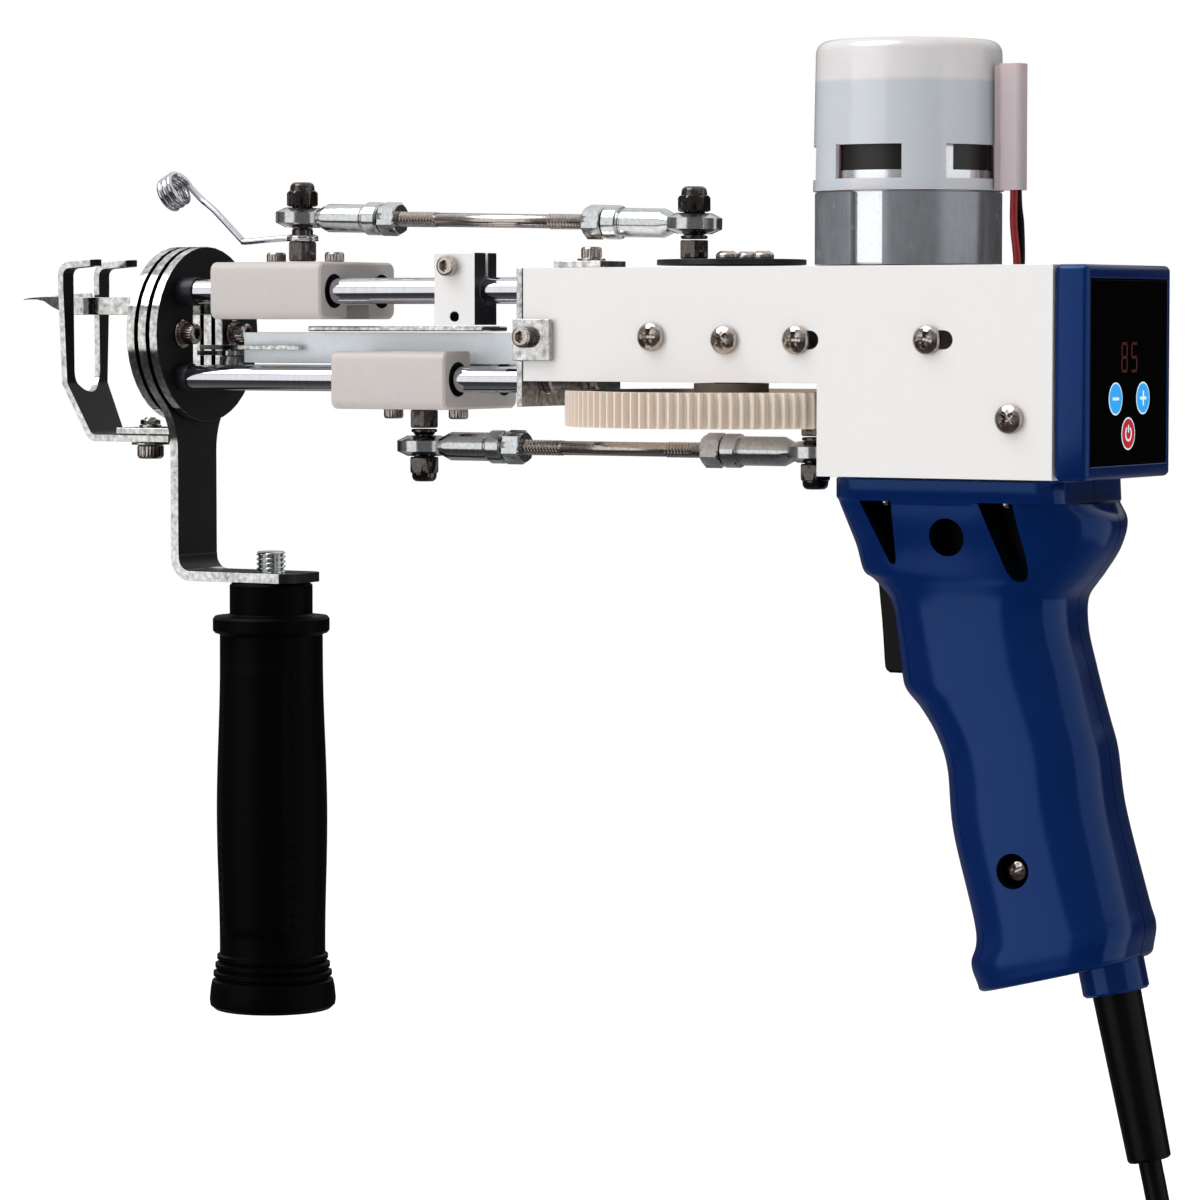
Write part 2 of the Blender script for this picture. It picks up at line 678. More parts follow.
def make_guides():
    """Four guide rods, the flat bar between the carriages, its cam plate and the rod clamp."""
    names = ("upper_near_rod", "upper_far_rod", "lower_near_rod", "lower_far_rod")
    for name, (side, level) in zip(names, SPOTS):
        profile = ((ROD_RADIUS - EDGE, ROD_FRONT), (ROD_RADIUS, ROD_FRONT + EDGE),
                   (ROD_RADIUS, ROD_REAR - EDGE), (ROD_RADIUS - EDGE, ROD_REAR))
        place(name, turned(profile, "x", (0, side, level)), "chrome")
    bar_bottom = BAR_TOP - BAR_HEIGHT
    bar = block((BAR_FRONT, END_FRONT - GAP), (-BAR_HALF, BAR_HALF), (bar_bottom, BAR_TOP))
    place("guide_bar", bar, "zinc")
    cam_low = BAR_TOP + GAP
    flat = block((CAM_FRONT, CAM_REAR), (-CAM_HALF, CAM_HALF), (cam_low, cam_low + CAM_THICKNESS))
    cam = place("cam_plate", flat, "chrome")
    soften(cam, EDGE / 2, 1)
    low = cam_low + CAM_THICKNESS + GAP
    far = CLAMP_NEAR + CLAMP_DEPTH
    clamp_rear = CLAMP_FRONT + CLAMP_LENGTH
    cheek = block((CLAMP_FRONT, clamp_rear), (CLAMP_NEAR, far), (low, CLAMP_TOP))
    clamp = place("rod_clamp", cheek, "silver")
    ends = (CLAMP_FRONT - OVERRUN, clamp_rear + OVERRUN)
    cut(clamp, rod(ROD_HOLE, *ends, "x", (0, -ROD_SIDE, UPPER_ROD_Z)))
    cut(clamp, block(ends, (-ROD_SIDE - CLAMP_SLIT / 2, -ROD_SIDE + CLAMP_SLIT / 2),
                     (UPPER_ROD_Z, CLAMP_TOP + OVERRUN)))
    hole = (CLAMP_FRONT + CLAMP_LENGTH / 2, 0, CLAMP_HOLE_Z)
    cut(clamp, rod(CLAMP_HOLE_RADIUS, CLAMP_NEAR - OVERRUN, far + OVERRUN, "y", hole))


def make_carriage(name, middle, top, level, channel):
    """Moulded nylon block that slides on two rods, with a channel for the bar between them."""
    ends = (middle - CARRIAGE_LENGTH / 2, middle + CARRIAGE_LENGTH / 2)
    bottom = top - CARRIAGE_HEIGHT
    past = (ends[0] - OVERRUN, ends[1] + OVERRUN)
    corner = CARRIAGE_EDGE
    half = CARRIAGE_HALF
    outline = []
    for (y, z), start in (((half - corner, top - corner), 0), ((-half + corner, top - corner), 1),
                          ((-half + corner, bottom + corner), 2), ((half - corner, bottom + corner), 3)):
        outline += arc((y, z), corner, start * math.pi / 2, (start + 1) * math.pi / 2, 4)
    carriage = place(name, prism(outline, "x", *ends), "nylon", (middle, 0, level))
    soften(carriage, EDGE, 1)
    for side in (-ROD_SIDE, ROD_SIDE):
        cut(carriage, rod(ROD_HOLE, *past, "x", (0, side, level)))
    cut(carriage, block(past, (-CHANNEL_HALF, CHANNEL_HALF), channel))
    return carriage


def rod_end(name, pivot, toward):
    """Rod end: a ring on the pivot pin, a round body with a collar, and a socket for the link."""
    sign = 1 if toward[0] > pivot[0] else -1
    body = turned(((0, BODY_START), (BODY_RADIUS - 2 * EDGE, BODY_START),
                   (BODY_RADIUS, BODY_START + 2 * EDGE), (BODY_RADIUS, BODY_END),
                   (COLLAR_RADIUS, BODY_END), (COLLAR_RADIUS, COLLAR_END),
                   (THREAD_RADIUS + GAP, COLLAR_END), (THREAD_RADIUS + GAP, COLLAR_END - SOCKET_DEPTH),
                   (0, COLLAR_END - SOCKET_DEPTH)), "x", sides=14)
    slope = Vector(toward) - Vector(pivot)
    pitch = -math.atan2(slope.z, abs(slope.x))
    turn = (0, pitch, 0) if sign > 0 else (0, pitch, math.pi)
    item = place(name, body, "steel", pivot, turn)
    half = HEAD_HEIGHT / 2
    head = turned(((0, -half), (HEAD_RADIUS - EDGE, -half), (HEAD_RADIUS, -half + EDGE),
                   (HEAD_RADIUS, half - EDGE), (HEAD_RADIUS - EDGE, half), (0, half)), sides=20)
    fuse(item, head, True)
    cut(item, rod(PIN_RADIUS + GAP, -half - OVERRUN, half + OVERRUN, sides=12), True)


def link(name, front, rear):
    """Link rod with a thread and a jam nut at each end, sunk in the two rod ends."""
    middle = (Vector(front) + Vector(rear)) / 2
    span = (Vector(rear) - Vector(front)).length / 2
    end = span - COLLAR_END + SOCKET_DEPTH - GAP
    nut = span - COLLAR_END - GAP
    inner = nut - JAM_NUT_LENGTH - THREAD_LENGTH
    shape = turned(((THREAD_RADIUS, -end), (THREAD_RADIUS, -inner), (LINK_RADIUS, -inner),
                    (LINK_RADIUS, inner), (THREAD_RADIUS, inner), (THREAD_RADIUS, end)), "x", sides=16)
    slope = Vector(rear) - Vector(front)
    item = place(name, shape, "steel", middle, (0, -math.atan2(slope.z, slope.x), 0))
    for side in (-1, 1):
        near, far = sorted((side * nut, side * (nut - JAM_NUT_LENGTH)))
        fuse(item, rod(JAM_NUT_RADIUS, near, far, "x", sides=6, start=math.pi / 6), True)


def pivot_bolt(name, pivot, foot, side):
    """Pivot bolt with its bush on one side of the rod end and its locknut on the other."""
    half = HEAD_HEIGHT / 2 + GAP
    bush = (-foot, -half)
    nut = (half, half + NYLOC_HEIGHT)
    shape = turned(((PIN_RADIUS, side * -foot), (PIN_RADIUS, side * half),
                    (PIN_RADIUS, side * (half + NYLOC_HEIGHT + NYLOC_DOME))), at=pivot, sides=12)
    item = place(name, shape, "dark_steel", pivot)
    collar_low = max(bush[0], -half - THIN_WALL)
    fuse(item, rod(BUSH_RADIUS, *sorted((side * collar_low, side * bush[1])), at=pivot, sides=16))
    fuse(item, rod(NYLOC_RADIUS, *sorted((side * nut[0], side * nut[1])), at=pivot, sides=6))


def make_needle_drive():
    """Upper carriage with the needle, its connecting rod and the pivot bolts."""
    level = UPPER_CARRIAGE_TOP
    bottom = level - CARRIAGE_HEIGHT
    make_carriage("needle_carriage", UPPER_FRONT_PIVOT_X, level, UPPER_ROD_Z,
                  (bottom - OVERRUN, bottom + UPPER_CHANNEL_DEPTH))
    front = (UPPER_FRONT_PIVOT_X, 0, UPPER_FRONT_PIVOT_Z)
    rear = (UPPER_REAR_PIVOT_X, 0, UPPER_REAR_PIVOT_Z)
    low = level + GAP
    spacer = rod(STANDOFF_RADIUS, low, low + STANDOFF_HEIGHT, at=(front[0], 0, 0), sides=6)
    place("needle_standoff", spacer, "steel", (front[0], 0, low))
    rod_end("needle_rod_end_front", front, rear)
    rod_end("needle_rod_end_rear", rear, front)
    link("needle_link_rod", front, rear)
    pivot_bolt("needle_pivot_front", front, front[2] - low - STANDOFF_HEIGHT - GAP, 1)
    crank_top = CRANK_DISC_BOTTOM + CRANK_DISC_THICKNESS + GAP + UPPER_CRANK_STANDOFF
    pivot_bolt("needle_pivot_rear", rear, rear[2] - crank_top - GAP, 1)

    carriage_front = UPPER_FRONT_PIVOT_X - CARRIAGE_LENGTH / 2
    upper, lower = NEEDLE_Z + NEEDLE_HEIGHT / 2, NEEDLE_Z - NEEDLE_HEIGHT / 2
    fin = upper + NEEDLE_BLADE_HEIGHT
    outline = ((carriage_front - GAP, lower), (carriage_front - GAP, upper), (NEEDLE_BLADE_REAR, upper),
               (NEEDLE_BLADE_REAR - NEEDLE_HEIGHT, fin), (NEEDLE_BLADE_FRONT, fin),
               (NEEDLE_SHOULDER_X - NEEDLE_HEIGHT, upper - EDGE), (NEEDLE_TIP_X, NEEDLE_Z + EDGE),
               (NEEDLE_SHOULDER_X - NEEDLE_HEIGHT, NEEDLE_Z - EDGE), (NEEDLE_SHOULDER_X, lower))
    needle = place("needle_bar", prism(outline, "y", -NEEDLE_HALF, NEEDLE_HALF), "chrome",
                   (carriage_front, 0, NEEDLE_Z))
    for side in (-1, 1):
        wedge = ((NEEDLE_TIP_X - OVERRUN, side * NEEDLE_POINT), (NEEDLE_TIP_X, side * NEEDLE_POINT),
                 (NEEDLE_SHOULDER_X, side * NEEDLE_HALF), (NEEDLE_SHOULDER_X, side * 2 * NEEDLE_HALF),
                 (NEEDLE_TIP_X - OVERRUN, side * 2 * NEEDLE_HALF))
        cut(needle, prism(wedge, "z", lower - OVERRUN, fin + OVERRUN))
    groove = (lower - OVERRUN, lower + NEEDLE_SLOT_DEPTH)
    cut(needle, block((NEEDLE_SHOULDER_X + OVERRUN, carriage_front - 2 * OVERRUN),
                      (-NEEDLE_SLOT_HALF, NEEDLE_SLOT_HALF), groove))


def make_yarn_guide():
    """Bent wire: a ring under the front rod end, an arm, and an open coil for the yarn."""
    points = []
    for i in range(GUIDE_RING_POINTS):
        angle = GUIDE_RING_START - GUIDE_RING_SWEEP * i / GUIDE_RING_POINTS
        points.append((UPPER_FRONT_PIVOT_X + GUIDE_RING_RADIUS * math.cos(angle),
                       GUIDE_RING_RADIUS * math.sin(angle), GUIDE_RING_Z))
    points += [tuple(p) for p in smooth_route(GUIDE_ROUTE, 14)]
    start = GUIDE_ROUTE[-1]
    steps = int(GUIDE_COIL_TURNS * GUIDE_LOOP_POINTS)
    axis_y, axis_z = start[1], start[2] + GUIDE_COIL_RADIUS
    for i in range(1, steps + 1):
        angle = -math.pi / 2 - math.tau * i / GUIDE_LOOP_POINTS
        points.append((start[0] - GUIDE_COIL_PITCH * i / GUIDE_LOOP_POINTS,
                       axis_y + GUIDE_COIL_RADIUS * math.cos(angle),
                       axis_z + GUIDE_COIL_RADIUS * math.sin(angle)))
    wire("yarn_guide", points, WIRE_RADIUS, "chrome", 1)
    print("yarn guide: least gap between turns", round(GUIDE_COIL_PITCH - 2 * WIRE_RADIUS, 5))


def make_cutter_drive():
    """Lower carriage with the scissors, their holder, the connecting rod and the pivot bolts."""
    top = LOWER_CARRIAGE_TOP
    bottom = top - CARRIAGE_HEIGHT
    make_carriage("cutter_carriage", LOWER_FRONT_PIVOT_X, top, LOWER_ROD_Z,
                  (top - LOWER_CHANNEL_DEPTH, top + OVERRUN))
    front = (LOWER_FRONT_PIVOT_X, 0, LOWER_PIVOT_Z)
    rear = (LOWER_REAR_PIVOT_X, 0, LOWER_PIVOT_Z)
    high = bottom - GAP
    spacer = rod(STANDOFF_RADIUS, high - CUTTER_STANDOFF_HEIGHT, high, at=(front[0], 0, 0), sides=6)
    place("cutter_standoff", spacer, "steel", (front[0], 0, high))
    rod_end("cutter_rod_end_front", front, rear)
    rod_end("cutter_rod_end_rear", rear, front)
    link("cutter_link_rod", front, rear)
    pivot_bolt("cutter_pivot_front", front, high - CUTTER_STANDOFF_HEIGHT - GAP - front[2], -1)
    crank_low = GEAR_BOTTOM - GAP - LOWER_CRANK_STANDOFF
    pivot_bolt("cutter_pivot_rear", rear, crank_low - GAP - rear[2], -1)

    carriage_front = LOWER_FRONT_PIVOT_X - CARRIAGE_LENGTH / 2
    nose = SCISSOR_PIVOT_X - HOLDER_NOSE
    low = HOLDER_TOP - HOLDER_THICKNESS
    flat = block((nose, carriage_front - GAP), (-HOLDER_HALF, HOLDER_HALF), (low, HOLDER_TOP))
    holder = place("scissor_holder", flat, "steel", (carriage_front, 0, low))
    pivot = (SCISSOR_PIVOT_X, 0, 0)
    fuse(holder, rod(SCISSOR_PIN_RADIUS, low + GAP, SCISSOR_TOP + GAP, at=pivot, sides=16))
    lower_top = SCISSOR_TOP - SCISSOR_THICKNESS - GAP
    collar_top = lower_top - SCISSOR_THICKNESS - GAP
    fuse(holder, rod(SCISSOR_EYE, low + GAP, collar_top, at=pivot, sides=20))
    for name, side, level in (("scissor_near", -1, SCISSOR_TOP), ("scissor_far", 1, lower_top)):
        tail, tip = SCISSOR_PIVOT_X + SCISSOR_TAIL, SCISSOR_PIVOT_X - SCISSOR_BLADE
        outline = ((tail, side * SCISSOR_INNER), (tail, side * SCISSOR_OUTER),
                   (SCISSOR_PIVOT_X + SCISSOR_EYE, side * SCISSOR_OUTER),
                   (tip, -side * SCISSOR_TIP), (tip, -side * 2 * SCISSOR_TIP),
                   (SCISSOR_PIVOT_X - SCISSOR_EYE, -side * SCISSOR_INNER),
                   (SCISSOR_PIVOT_X + SCISSOR_EYE, side * SCISSOR_INNER))
        blade = place(name, prism(outline, "z", level - SCISSOR_THICKNESS, level), "chrome",
                      (SCISSOR_PIVOT_X, 0, level))
        under = level - SCISSOR_THICKNESS
        fuse(blade, rod(SCISSOR_EYE, under, level, at=pivot, sides=20))
        cut(blade, rod(SCISSOR_PIN_RADIUS + GAP, under - OVERRUN, level + OVERRUN, at=pivot, sides=16))


def plate_holes(plate, low, high):
    """The mouth that the needle and scissors pass, and the holes for the guide rods."""
    ends = (low - OVERRUN, high + OVERRUN)
    cut(plate, block(ends, (-MOUTH_HALF, MOUTH_HALF), (MOUTH_BOTTOM, MOUTH_TOP)))
    for side, level in SPOTS:
        cut(plate, rod(ROD_HOLE, *ends, "x", (0, side, level), 14))


def make_front_plates():
    """Two round plates with the handle bracket between them."""
    centre = (0, 0, DISC_Z)
    for name, ends in (("rear_flange_disc", (DISC_FRONT, DISC_REAR)),
                       ("front_flange_disc", (FACE_FRONT, FACE_REAR))):
        disc = place(name, rod(DISC_RADIUS, *ends, "x", centre, 40), "dark_steel")
        plate_holes(disc, *ends)
    low = FOOT_LEG_Z + GAP + FOOT_THICKNESS

    # the arm's fillets are arcs that touch the disc's rim and the arm's straight sides
    middle_y = ARM_HALF + ARM_FILLET
    middle_z = DISC_Z - math.sqrt((DISC_RADIUS + ARM_FILLET) ** 2 - middle_y ** 2)
    touch = math.atan2(DISC_Z - middle_z, -middle_y)
    rim_start = math.atan2(middle_z - DISC_Z, middle_y)
    bend_top = TAB_Z - TAB_THICKNESS + BEND_RADIUS
    outline = arc((0, DISC_Z), DISC_RADIUS, rim_start, math.pi - rim_start, 30)
    outline += arc((-middle_y, middle_z), ARM_FILLET, math.pi - touch, 0, 8)
    outline += [(-ARM_HALF, bend_top), (ARM_HALF, bend_top)]
    outline += arc((middle_y, middle_z), ARM_FILLET, math.pi, touch, 8)
    bracket = place("handle_bracket", prism(outline, "x", PLATE_FRONT, BRACKET_REAR), "dark_steel")
    centre = (PLATE_FRONT + BEND_RADIUS, bend_top)
    bend = [(PLATE_FRONT, bend_top + EDGE)] + arc(centre, BEND_RADIUS, math.pi, 1.5 * math.pi, 6)
    bend += [(TAB_REAR, TAB_Z - TAB_THICKNESS), (TAB_REAR, TAB_Z)]
    bend += arc(centre, BEND_RADIUS - TAB_THICKNESS, 1.5 * math.pi, math.pi, 6)
    bend += [(PLATE_FRONT + TAB_THICKNESS, bend_top + EDGE)]
    fuse(bracket, prism(bend, "y", -ARM_HALF, ARM_HALF))
    through = (TAB_Z - TAB_THICKNESS - OVERRUN, TAB_Z + OVERRUN)
    cut(bracket, rod(STUD_RADIUS + GAP, *through, at=(GRIP_X, 0, 0)))
    curve = ARM_HALF / 2
    for side in (-1, 1):
        corner = arc((TAB_REAR - curve, side * curve), curve, 0, side * math.pi / 2, 5)
        corner += [(TAB_REAR - curve, side * 2 * ARM_HALF), (TAB_REAR + OVERRUN, side * 2 * ARM_HALF),
                   (TAB_REAR + OVERRUN, side * curve)]
        cut(bracket, prism(corner, "z", *through))
    plate_holes(bracket, PLATE_FRONT, BRACKET_REAR)
    make_foot(low)


def make_foot(tab_low):
    """The foot's bracket in front of the plates, and the forked presser foot under its tab."""
    top = tab_low + PLATE
    face = FACE_FRONT - GAP
    across = (-BRACKET_HALF, BRACKET_HALF)
    tab = place("foot_bracket", block((BRACKET_FRONT, face), across, (tab_low, top)), "chrome")
    lug_top = DISC_Z - DISC_RADIUS + 2 * BRACKET_LIP_DROP
    fuse(tab, block((face - PLATE, face), across, (tab_low, lug_top)))
    bolt = (BRACKET_BOLT_X, 0, 0)
    under = tab_low - GAP - FOOT_THICKNESS - GAP
    fuse(tab, rod(BRACKET_PIN_RADIUS, under - BRACKET_HEAD_HEIGHT / 2, tab_low + GAP, at=bolt, sides=16))
    fuse(tab, rod(BRACKET_HEAD_RADIUS, under - BRACKET_HEAD_HEIGHT, under, at=bolt, sides=20))
    thick = FOOT_THICKNESS
    leg_top = tab_low - GAP
    side = [(FOOT_X + FOOT_HOOK, FOOT_TOP), (FOOT_X + thick, FOOT_TOP), (FOOT_X, FOOT_TOP - thick),
            (FOOT_X, FOOT_KNEE_Z), (FOOT_LEG_X - thick, leg_top - thick), (FOOT_REAR, leg_top - thick),
            (FOOT_REAR, leg_top), (FOOT_LEG_X, leg_top), (FOOT_X + thick, FOOT_KNEE_Z),
            (FOOT_X + thick, FOOT_TOP - thick - EDGE), (FOOT_X + thick + EDGE, FOOT_TOP - thick),
            (FOOT_X + FOOT_HOOK, FOOT_TOP - thick)]
    foot = place("presser_foot", prism(side, "y", -FOOT_HALF, FOOT_HALF), "chrome", (FOOT_X, 0, leg_top))
    slot = [(-FOOT_SLOT_HALF, FOOT_TOP + OVERRUN)]
    slot += arc((0, FOOT_SLOT_BOTTOM + FOOT_SLOT_HALF), FOOT_SLOT_HALF, math.pi, math.tau, 8)
    slot += [(FOOT_SLOT_HALF, FOOT_TOP + OVERRUN)]
    cut(foot, prism(slot, "x", FOOT_X - OVERRUN, FOOT_X + FOOT_HOOK + OVERRUN))
    rear = BRACKET_BOLT_X + FOOT_ADJUST_HALF
    adjust = arc((rear - FOOT_ADJUST_HALF, 0), FOOT_ADJUST_HALF, math.pi / 2, 1.5 * math.pi, 6)
    adjust += [(FOOT_REAR + OVERRUN, -FOOT_ADJUST_HALF), (FOOT_REAR + OVERRUN, FOOT_ADJUST_HALF)]
    cut(foot, prism(adjust, "z", leg_top - thick - OVERRUN, leg_top + OVERRUN))


def make_front_grip():
    """Rubber grip on a stud under the bracket's tab."""
    top = TAB_Z - TAB_THICKNESS - GAP
    flange = top - GRIP_NECK_HEIGHT
    below = flange - GRIP_FLANGE_HEIGHT
    bottom = top - GRIP_LENGTH
    ring = bottom + 2 * GRIP_FLANGE_HEIGHT
    middle = (bottom + below) / 2
    profile = [(0, bottom), (GRIP_FOOT_RADIUS - 2 * EDGE, bottom), (GRIP_FOOT_RADIUS, bottom + 2 * EDGE),
               (GRIP_FOOT_RADIUS - EDGE, ring - GRIP_RING_HEIGHT)]
    for i in range(3):
        level = ring + 2 * i * GRIP_RING_HEIGHT
        wide = GRIP_FOOT_RADIUS - (i + 2) * EDGE
        profile += [(wide - GRIP_RING_DEPTH, level), (wide, level + GRIP_RING_HEIGHT)]
    profile += [(GRIP_MIDDLE_RADIUS, middle - GRIP_NECK_HEIGHT),
                (GRIP_MIDDLE_RADIUS - EDGE / 2, middle + GRIP_NECK_HEIGHT),
                (GRIP_BODY_RADIUS, below - GRIP_NECK_HEIGHT), (GRIP_BODY_RADIUS, below - EDGE),
                (GRIP_FLANGE_RADIUS - EDGE, below), (GRIP_FLANGE_RADIUS, below + EDGE),
                (GRIP_FLANGE_RADIUS, flange - EDGE), (GRIP_FLANGE_RADIUS - EDGE, flange),
                (GRIP_NECK_RADIUS, flange + EDGE), (GRIP_NECK_RADIUS, top - EDGE),
                (GRIP_NECK_RADIUS - EDGE, top), (STUD_RADIUS + GAP, top),
                (STUD_RADIUS + GAP, STUD_BOTTOM - GAP), (0, STUD_BOTTOM - GAP)]
    place("front_grip", turned(profile, at=(GRIP_X, 0, 0), sides=22), "black", (GRIP_X, 0, top))
    stud = turned(((STUD_RADIUS - EDGE, STUD_BOTTOM), (STUD_RADIUS, STUD_BOTTOM + EDGE),
                   (STUD_RADIUS, STUD_TOP - EDGE), (STUD_RADIUS - EDGE, STUD_TOP)), at=(GRIP_X, 0, 0))
    place("grip_stud", stud, "steel", (GRIP_X, 0, 0))


def make_motor():
    """Brushed motor: can, flux ring with its slit, frosted cap with vents, wire duct and leads."""
    at = (MOTOR_X, 0, 0)
    can = turned(((0, GAP + WALL), (PINION_SHAFT_RADIUS + GAP, GAP + WALL),
                  (PINION_SHAFT_RADIUS + GAP, -CAN_BOSS_HEIGHT), (CAN_BOSS_RADIUS, -CAN_BOSS_HEIGHT),
                  (CAN_BOSS_RADIUS, GAP), (CAN_RADIUS, GAP), (CAN_RADIUS, CAN_TOP - EDGE),
                  (CAN_RADIUS - EDGE, CAN_TOP), (0, CAN_TOP)), at=at, sides=28)
    place("motor_can", can, "steel", at)
    inner = CAN_RADIUS + GAP
    flux = turned(((inner, GAP), (FLUX_RADIUS, GAP), (FLUX_RADIUS, GAP + FLUX_HEIGHT),
                   (inner, GAP + FLUX_HEIGHT)), at=at, sides=26, hollow=True,
                  start=-math.pi / 2 + FLUX_SLIT_HALF, sweep=math.tau - 2 * FLUX_SLIT_HALF)
    place("flux_ring", flux, "grey", at)
    inside = CAP_RADIUS - THIN_WALL
    profile = [(inside, CAP_BOTTOM), (CAP_RADIUS, CAP_BOTTOM)]
    profile += arc((CAP_RADIUS - CAP_EDGE, CAP_TOP - CAP_EDGE), CAP_EDGE, 0, math.pi / 2, 4)
    profile += [(0, CAP_TOP), (0, CAP_TOP - THIN_WALL), (inside - CAP_EDGE / 2, CAP_TOP - THIN_WALL),
                (inside, CAP_TOP - THIN_WALL - CAP_EDGE / 2), (inside, CAP_BOTTOM + THIN_WALL)]
    cap = place("motor_cap", turned(profile, at=at, sides=30, hollow=True), "frosted", at)
    for i in range(VENT_COUNT):
        middle = -math.pi / 2 + math.tau * i / VENT_COUNT
        vent = turned(((inside - CAP_EDGE / 2, VENT_BOTTOM), (CAP_RADIUS + OVERRUN, VENT_BOTTOM),
                       (CAP_RADIUS + OVERRUN, VENT_BOTTOM + VENT_HEIGHT),
                       (inside - CAP_EDGE / 2, VENT_BOTTOM + VENT_HEIGHT)), at=at, sides=4, hollow=True,
                      start=middle - VENT_HALF, sweep=2 * VENT_HALF)
        cut(cap, vent)
    duct_front = MOTOR_X + CAP_RADIUS + GAP
    duct_rear = duct_front + DUCT_DEPTH
    channel = DUCT_HALF - DUCT_WALL
    outline = ((duct_front, -DUCT_HALF), (duct_rear, -DUCT_HALF), (duct_rear, DUCT_HALF),
               (duct_front, DUCT_HALF), (duct_front, channel), (duct_rear - DUCT_WALL, channel),
               (duct_rear - DUCT_WALL, -channel), (duct_front, -channel))
    place("wire_duct", prism(outline, "z", CAP_BOTTOM, CAP_BOTTOM + DUCT_HEIGHT), "pink")
    for name, kind, side in (("red_lead", "red", -1), ("black_lead", "black", 1)):
        x = duct_rear - LEAD_SETBACK
        y = side * LEAD_SIDE
        route = ((x, y, LEAD_TOP), (x, y, (LEAD_TOP + CAP_BOTTOM) / 2), (x - LEAD_BOW, y, CAP_BOTTOM / 2),
                 (x, y, 0), (x, y, LEAD_BOTTOM))
        wire(name, [tuple(p) for p in smooth_route(route, 14)], LEAD_RADIUS, kind, 2)


def make_control_head():
    """Moulded head on the housing's rear, with its glass panel and circuit board."""
    front = HOUSING_REAR + GAP
    head = place("control_head", block((front, HEAD_REAR), (-SIDE, SIDE), (-DEEP_HEIGHT, 0)), "blue")
    soften(head, RIM_BEVEL, 2)
    middle = -DEEP_HEIGHT / 2
    inner = SIDE - HEAD_WALL
    glass_front = HEAD_REAR - GLASS_RECESS
    recess = GLASS_HALF + GAP
    across, levels = (-recess, recess), (middle - recess, middle + recess)
    cut(head, block((glass_front, HEAD_REAR + OVERRUN), across, levels))
    cut(head, block((front - OVERRUN, glass_front - HEAD_FACE_WALL), (-inner, inner),
                    (middle - inner, middle + inner)))
    glass = block((glass_front + GAP, glass_front + GAP + GLASS_THICKNESS), (-GLASS_HALF, GLASS_HALF),
                  (middle - GLASS_HALF, middle + GLASS_HALF))
    place("panel_glass", glass, "glass")
    half = inner - GAP
    board = block((BOARD_X, BOARD_X + BOARD_THICKNESS), (-half, half), (middle - half, middle + half))
    place("circuit_board", board, "green")


def grip_section(number, inset, shift=0):
    """Ring of points of one grip section, drawn in by an inset and shifted along Z."""
    drop, front, back, half = GRIP_SECTIONS[number]
    power, slope = GRIP_ROUND_SHARES[number], GRIP_SLOPE_SHARES[number]
    z = GRIP_TOP_Z + drop + shift
    centre = (front + back) / 2
    deep, wide = (back - front) / 2 - inset, half - inset
    ring = []
    for i in range(GRIP_RING_SIDES):
        angle = math.tau * i / GRIP_RING_SIDES
        c, s = math.cos(angle), math.sin(angle)
        x = deep * math.copysign(abs(c) ** (2 / power), c)
        y = wide * math.copysign(abs(s) ** (2 / power), s)
        ring.append((centre + x, y, z + slope * x))
    return ring


def loft(rings):
    """A closed skin over rings of as many points."""
    bm = bmesh.new()
    rows = [[bm.verts.new(p) for p in ring] for ring in rings]
    for low, high in zip(rows, rows[1:]):
        for i in range(len(low)):
            j = (i + 1) % len(low)
            bm.faces.new((low[i], low[j], high[j], high[i]))
    bm.faces.new(rows[0])
    bm.faces.new(rows[-1])
    return bm


def cord_axis(distance):
    """A point on the slanted axis on which the cord leaves the grip."""
    x = CORD_TOP_X + distance * math.sin(CORD_TILT)
    return Vector((x, 0, GRIP_TOP_Z + CORD_TOP_Z - distance * math.cos(CORD_TILT)))


def slanted(profile, sides, hollow=False):
    """A turned shape on the cord's slanted axis, with its heights measured down from the top."""
    bm = turned([(radius, -height) for radius, height in profile], sides=sides, hollow=hollow)
    turn = Matrix.Translation(cord_axis(0)) @ Matrix.Rotation(-CORD_TILT, 4, "Y")
    bmesh.ops.transform(bm, matrix=turn, verts=bm.verts)
    return bm


def open_recesses(shell):
    """Two round screw recesses and two pockets that narrow downwards, in the near shell."""
    floor = -GRIP_SECTIONS[WAIST_SECTION][3] + GRIP_WALL / 2
    for x, z in ((RECESS_UPPER_X, RECESS_UPPER_Z), (RECESS_LOWER_X, RECESS_LOWER_Z)):
        cut(shell, rod(RECESS_RADIUS, -SIDE, floor, "y", (x, 0, GRIP_TOP_Z + z)))
    floor = -GRIP_SECTIONS[NECK_SECTION][3] + GRIP_WALL / 2
    high, low = GRIP_TOP_Z + POCKET_TOP_Z, GRIP_TOP_Z + POCKET_BOTTOM_Z
    for x, lean in ((POCKET_FRONT_X, 1), (POCKET_REAR_X, -1)):
        foot = x + POCKET_WIDTH - POCKET_FOOT_WIDTH if lean > 0 else x + POCKET_WIDTH / 2
        mouth = ((x, high), (x + POCKET_WIDTH, high), (foot + POCKET_FOOT_WIDTH, low), (foot, low))
        cut(shell, prism(mouth, "y", -SIDE, floor))


